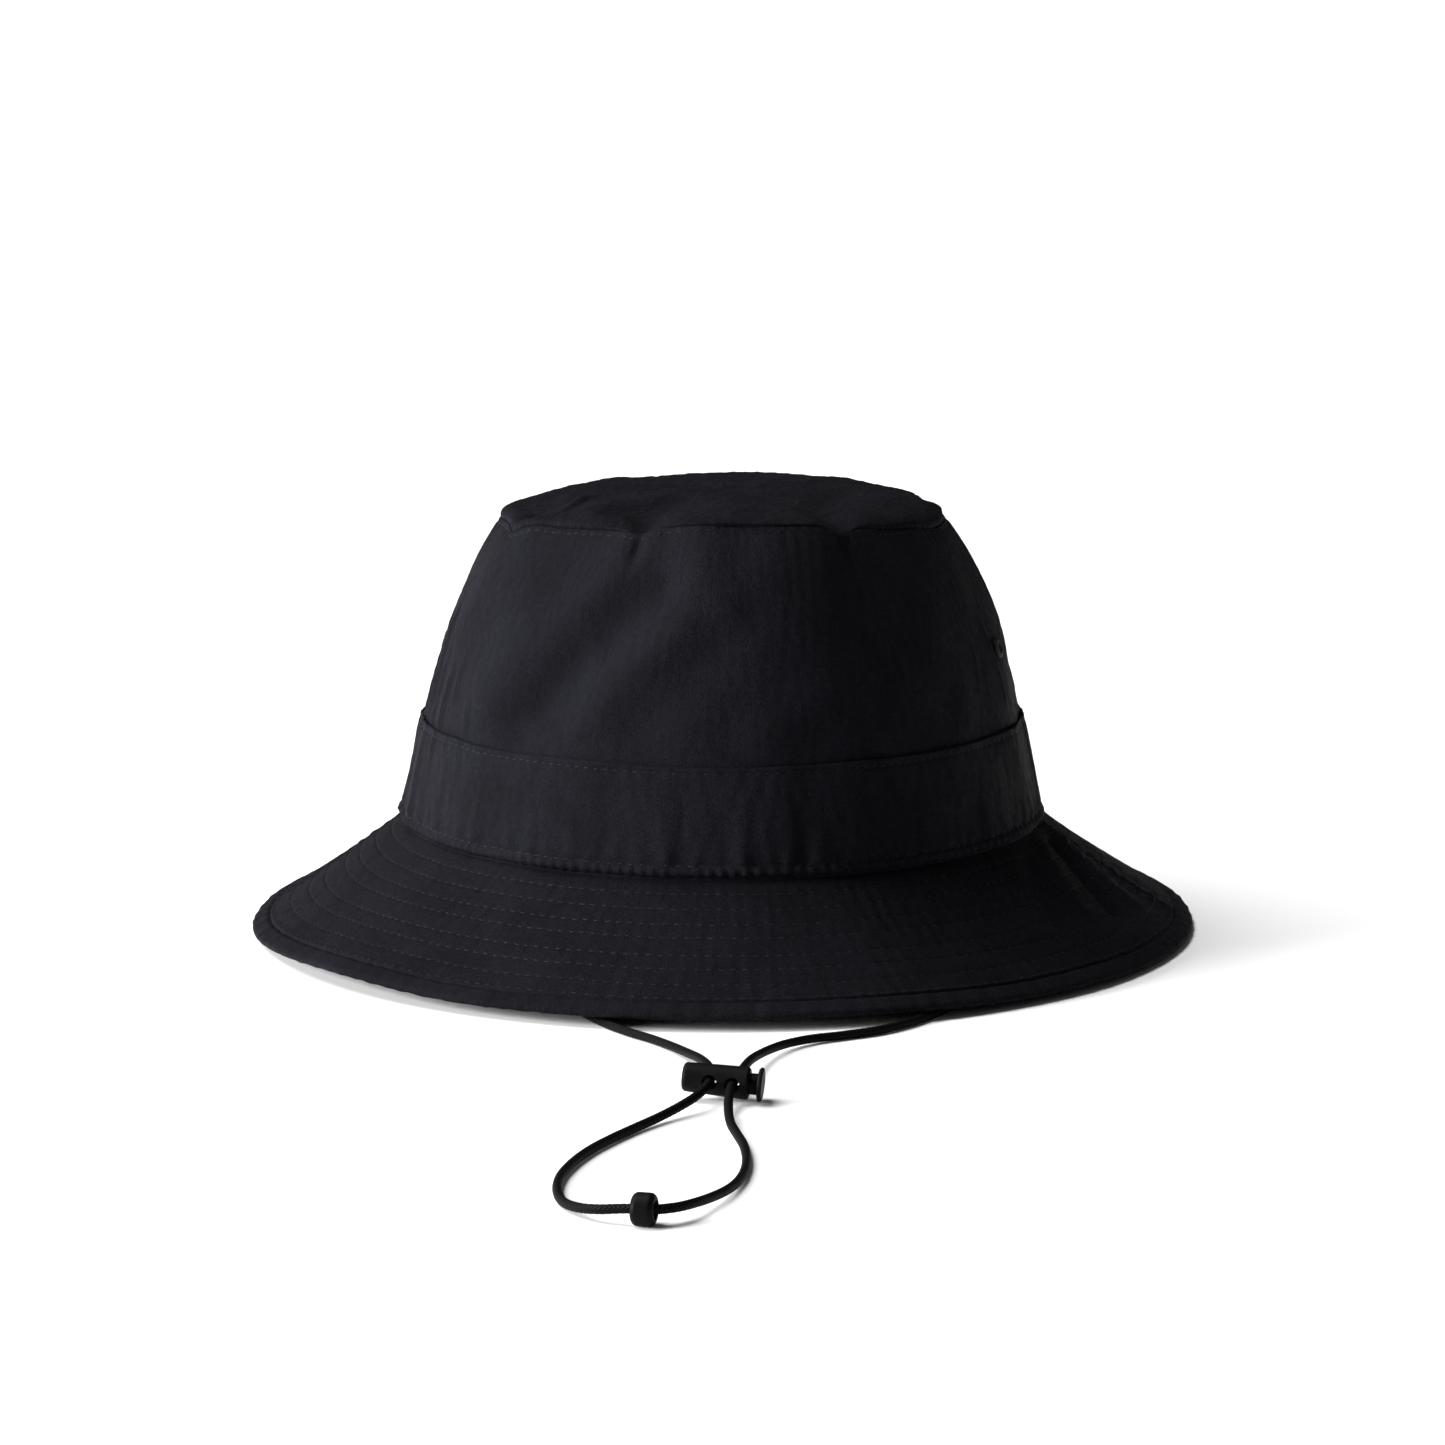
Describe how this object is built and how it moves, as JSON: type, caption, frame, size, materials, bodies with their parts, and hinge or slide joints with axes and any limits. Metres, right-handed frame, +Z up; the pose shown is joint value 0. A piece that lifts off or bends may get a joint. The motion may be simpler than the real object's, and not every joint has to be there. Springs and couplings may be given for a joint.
{
  "type": "bucket hat",
  "caption": "Soft bucket hat with a quilted sloping brim, a folded band and an elastic chin cord with a push-button cord lock.",
  "frame": {"origin": "on the ground under the middle of the crown, with the brim's edge resting on z = 0", "axes": "+Z up through the crown's top, +Y towards the back of the hat, +X towards its right as seen from the front"},
  "size_m": [0.2822, 0.4953, 0.1307],
  "materials": {
    "shell_cloth": "crinkled nylon, soft sheen",
    "band_cloth": "crinkled nylon, soft sheen",
    "brim_cloth": "crinkled nylon, quilted",
    "interlining": "non-woven, matte",
    "seam_tape": "woven tape, matte",
    "sweatband": "twill, matte",
    "label": "satin ribbon, blank",
    "thread": "polyester thread, slight glint",
    "elastic_cord": "braided round elastic",
    "moulded_black": "satin moulded",
    "spring_steel": "drawn wire"
  },
  "bodies": {
    "hat": {"crown_tip": "shell_cloth", "crown_front": "shell_cloth", "crown_back": "shell_cloth", "tip_seam_tape": "seam_tape", "side_seam_tape_left": "seam_tape", "side_seam_tape_right": "seam_tape", "vent_eyelets_left": "thread", "vent_eyelets_right": "thread", "hat_band_front": "band_cloth", "hat_band_back": "band_cloth", "brim_top_front": "brim_cloth", "brim_top_back": "brim_cloth", "brim_interlining": "interlining", "brim_under_front": "brim_cloth", "brim_under_back": "brim_cloth", "brim_edge_binding": "brim_cloth", "sweatband": "sweatband", "size_label": "label", "cord_tab_left": "seam_tape", "cord_tab_right": "seam_tape", "chin_cord_left": "elastic_cord", "chin_cord_right": "elastic_cord", "cord_stop_bead": "moulded_black"},
    "cord_lock": {"cord_lock_barrel": "moulded_black", "cord_lock_spring": "spring_steel"},
    "lock_button": {"cord_lock_plunger": "moulded_black"}
  },
  "joints": [
    {"name": "lock_slide", "type": "slide", "parent": "hat", "child": "cord_lock", "axis": [-0.0349, -0.9994, 0], "range_m": [-0.04, 0.045], "deforming": ["chin_cord_left", "chin_cord_right"]},
    {"name": "lock_press", "type": "slide", "parent": "cord_lock", "child": "lock_button", "axis": [-0.9963, 0.0348, 0.0785], "range_m": [0, 0.002], "stiffness_N_per_m": 300, "springref_m": -0.002, "deforming": ["cord_lock_spring"]}
  ]
}
